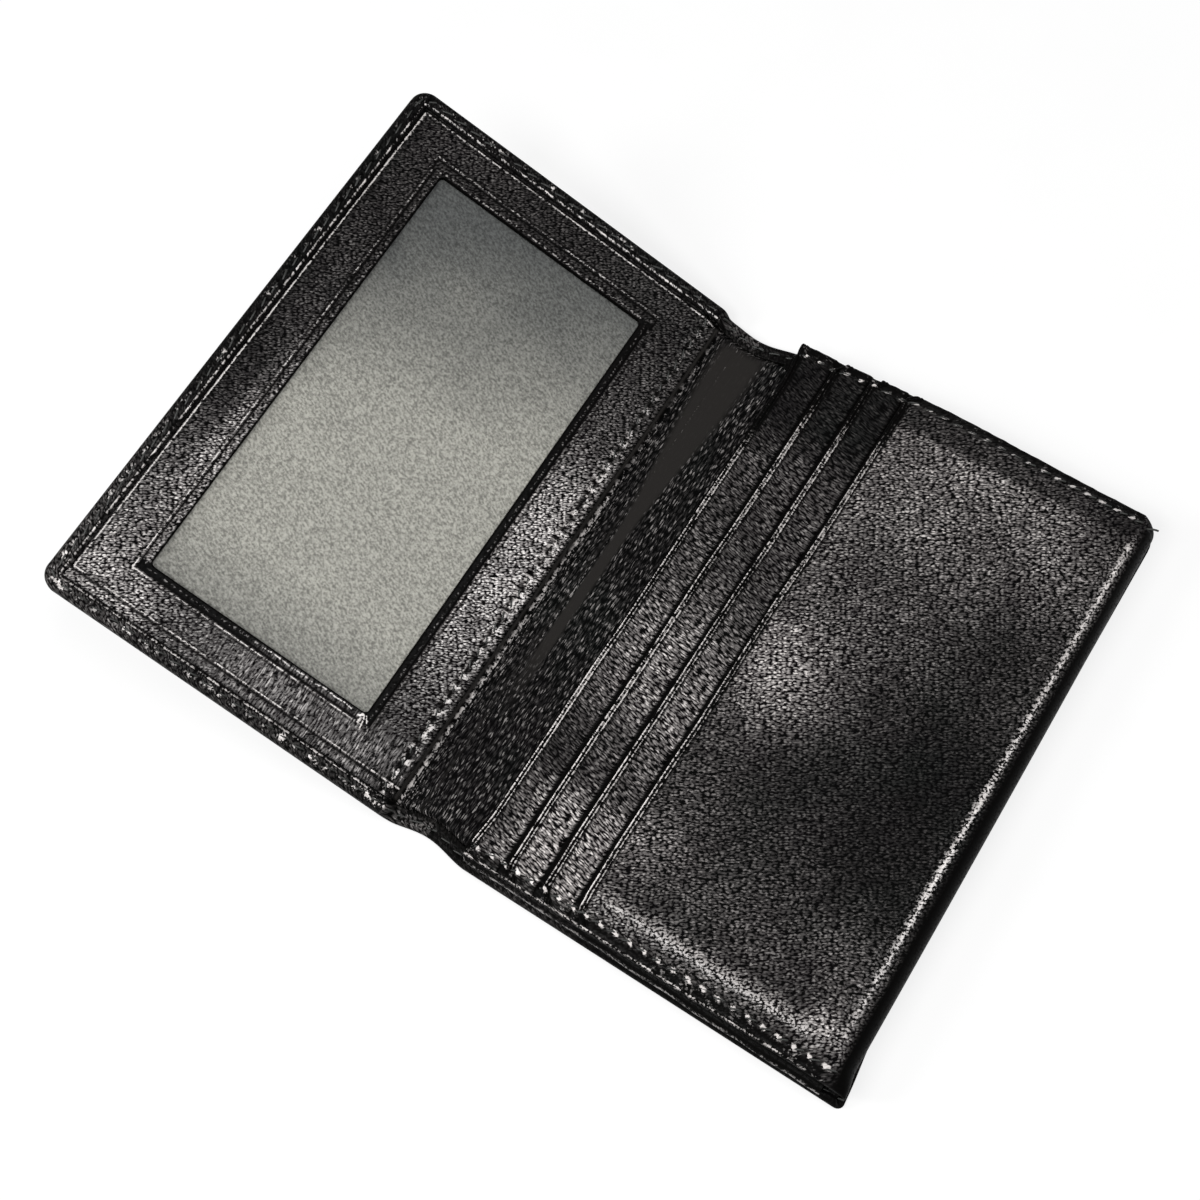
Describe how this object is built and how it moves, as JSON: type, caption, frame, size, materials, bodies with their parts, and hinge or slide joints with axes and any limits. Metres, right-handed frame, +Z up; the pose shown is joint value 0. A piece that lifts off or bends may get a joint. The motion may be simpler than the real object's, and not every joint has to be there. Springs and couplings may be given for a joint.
{
  "type": "business card holder",
  "caption": "Bifold leather card holder with a window pocket on one wing and card slots over a gusseted pocket on the other.",
  "frame": {"origin": "on the underside, at the middle of the spine strip, where the opened holder rests on a table", "axes": "+X from the window wing to the pocket wing, +Y along the spine, +Z up from the table"},
  "size_m": [0.1442, 0.1046, 0.0313],
  "materials": {
    "cover_leather": "fine-grained, semi-gloss",
    "inner_leather": "pebble-grained, semi-gloss, worn shiny on the edges",
    "lining_fabric": "woven, matte",
    "stiffening_board": "matte fibre board",
    "frosted_film": "frosted, fine sparkle"
  },
  "bodies": {
    "back_wing": {"back_cover": "cover_leather", "back_board": "stiffening_board", "main_pocket_lining": "lining_fabric", "gusset_upper": "inner_leather", "gusset_lower": "inner_leather"},
    "spine": {"spine_cover": "cover_leather", "spine_lining": "inner_leather"},
    "front_wing": {"front_cover": "cover_leather", "front_board": "stiffening_board", "id_pocket_lining": "lining_fabric", "id_window_film": "frosted_film", "id_window_panel": "inner_leather"},
    "pocket_stack": {"pocket_backing_panel": "inner_leather", "slot_1_panel": "inner_leather", "slot_1_skirt": "lining_fabric", "slot_2_panel": "inner_leather", "slot_2_skirt": "lining_fabric", "front_pocket": "inner_leather"}
  },
  "joints": [
    {"name": "spine_fold", "type": "hinge", "parent": "back_wing", "child": "spine", "pos_m": [0.0068, 0, 0.00175], "axis": [0, 1, 0], "range_deg": [0, 90]},
    {"name": "cover_fold", "type": "hinge", "parent": "spine", "child": "front_wing", "pos_m": [-0.0068, 0, 0.00175], "axis": [0, 1, 0], "range_deg": [-24, 66]},
    {"name": "pocket_mouth", "type": "hinge", "parent": "back_wing", "child": "pocket_stack", "pos_m": [0.07435, 0, 0.00105], "axis": [0.0163, -0.9999, 0], "range_deg": [-4.5, 0], "deforming": ["gusset_upper", "gusset_lower"]}
  ]
}
